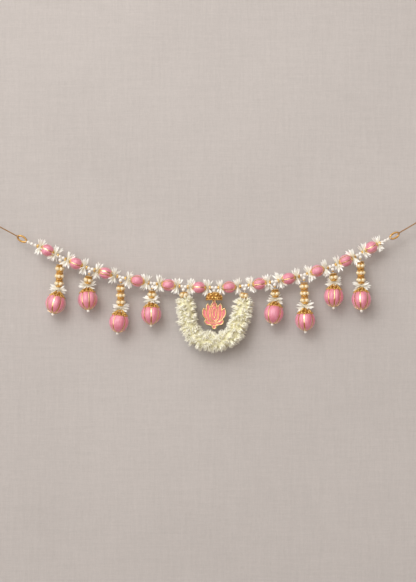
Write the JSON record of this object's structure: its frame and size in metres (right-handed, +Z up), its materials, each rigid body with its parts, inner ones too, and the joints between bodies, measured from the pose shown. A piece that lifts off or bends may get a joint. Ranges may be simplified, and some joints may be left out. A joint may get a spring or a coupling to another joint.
{
  "type": "toran door hanging",
  "caption": "Draped door hanging of thread-wound balls, pearls and white flowers on a string, with hanging drops, a U-shaped garland of buds and an enamelled plaque.",
  "frame": {"origin": "midway between the two hanging loops, at their height, where the door head's nails hold them", "axes": "+X along the string, left to right seen from the front; -Y towards the viewer; +Z up"},
  "size_m": [1.0854, 0.0534, 0.3381],
  "materials": {
    "pink_thread": "satin thread winding",
    "white_flower": "matte",
    "cream_buds": "matte",
    "gold_metal": "bright filigree",
    "champagne_pearl": "pearl",
    "pink_enamel": "enamel",
    "tie_cord": "twisted cord"
  },
  "bodies": {
    "root": {"string_ball_01": "pink_thread", "string_ball_02": "pink_thread", "string_ball_03": "pink_thread", "string_ball_04": "pink_thread", "string_ball_05": "pink_thread", "string_ball_06": "pink_thread", "string_ball_07": "pink_thread", "string_ball_08": "pink_thread", "string_ball_09": "pink_thread", "string_ball_10": "pink_thread", "string_ball_11": "pink_thread", "string_ball_12": "pink_thread", "string_strand_01": "white_flower", "string_strand_02": "white_flower", "string_strand_03": "white_flower", "string_strand_04": "white_flower", "string_strand_05": "white_flower", "string_strand_06": "white_flower", "string_strand_07": "white_flower", "string_strand_08": "white_flower", "string_strand_09": "white_flower", "string_strand_10": "white_flower", "string_strand_11": "white_flower", "string_end_left": "white_flower", "string_end_right": "white_flower", "drop_strand_1": "champagne_pearl", "drop_cap_1": "gold_metal", "drop_ball_1": "pink_thread", "drop_strand_2": "champagne_pearl", "drop_cap_2": "gold_metal", "drop_ball_2": "pink_thread", "drop_strand_3": "champagne_pearl", "drop_cap_3": "gold_metal", "drop_ball_3": "pink_thread", "drop_strand_4": "champagne_pearl", "drop_cap_4": "gold_metal", "drop_ball_4": "pink_thread", "drop_strand_5": "champagne_pearl", "drop_cap_5": "gold_metal", "drop_ball_5": "pink_thread", "drop_strand_6": "champagne_pearl", "drop_cap_6": "gold_metal", "drop_ball_6": "pink_thread", "drop_strand_7": "champagne_pearl", "drop_cap_7": "gold_metal", "drop_ball_7": "pink_thread", "drop_strand_8": "champagne_pearl", "drop_cap_8": "gold_metal", "drop_ball_8": "pink_thread", "garland_hanger_left": "champagne_pearl", "garland_hanger_right": "champagne_pearl", "bud_garland": "cream_buds", "plaque_hanger": "gold_metal", "plaque": "pink_enamel", "end_ring_left": "gold_metal", "tie_cord_left": "tie_cord", "tie_loop_left": "tie_cord", "end_ring_right": "gold_metal", "tie_cord_right": "tie_cord", "tie_loop_right": "tie_cord"}
  },
  "joints": []
}
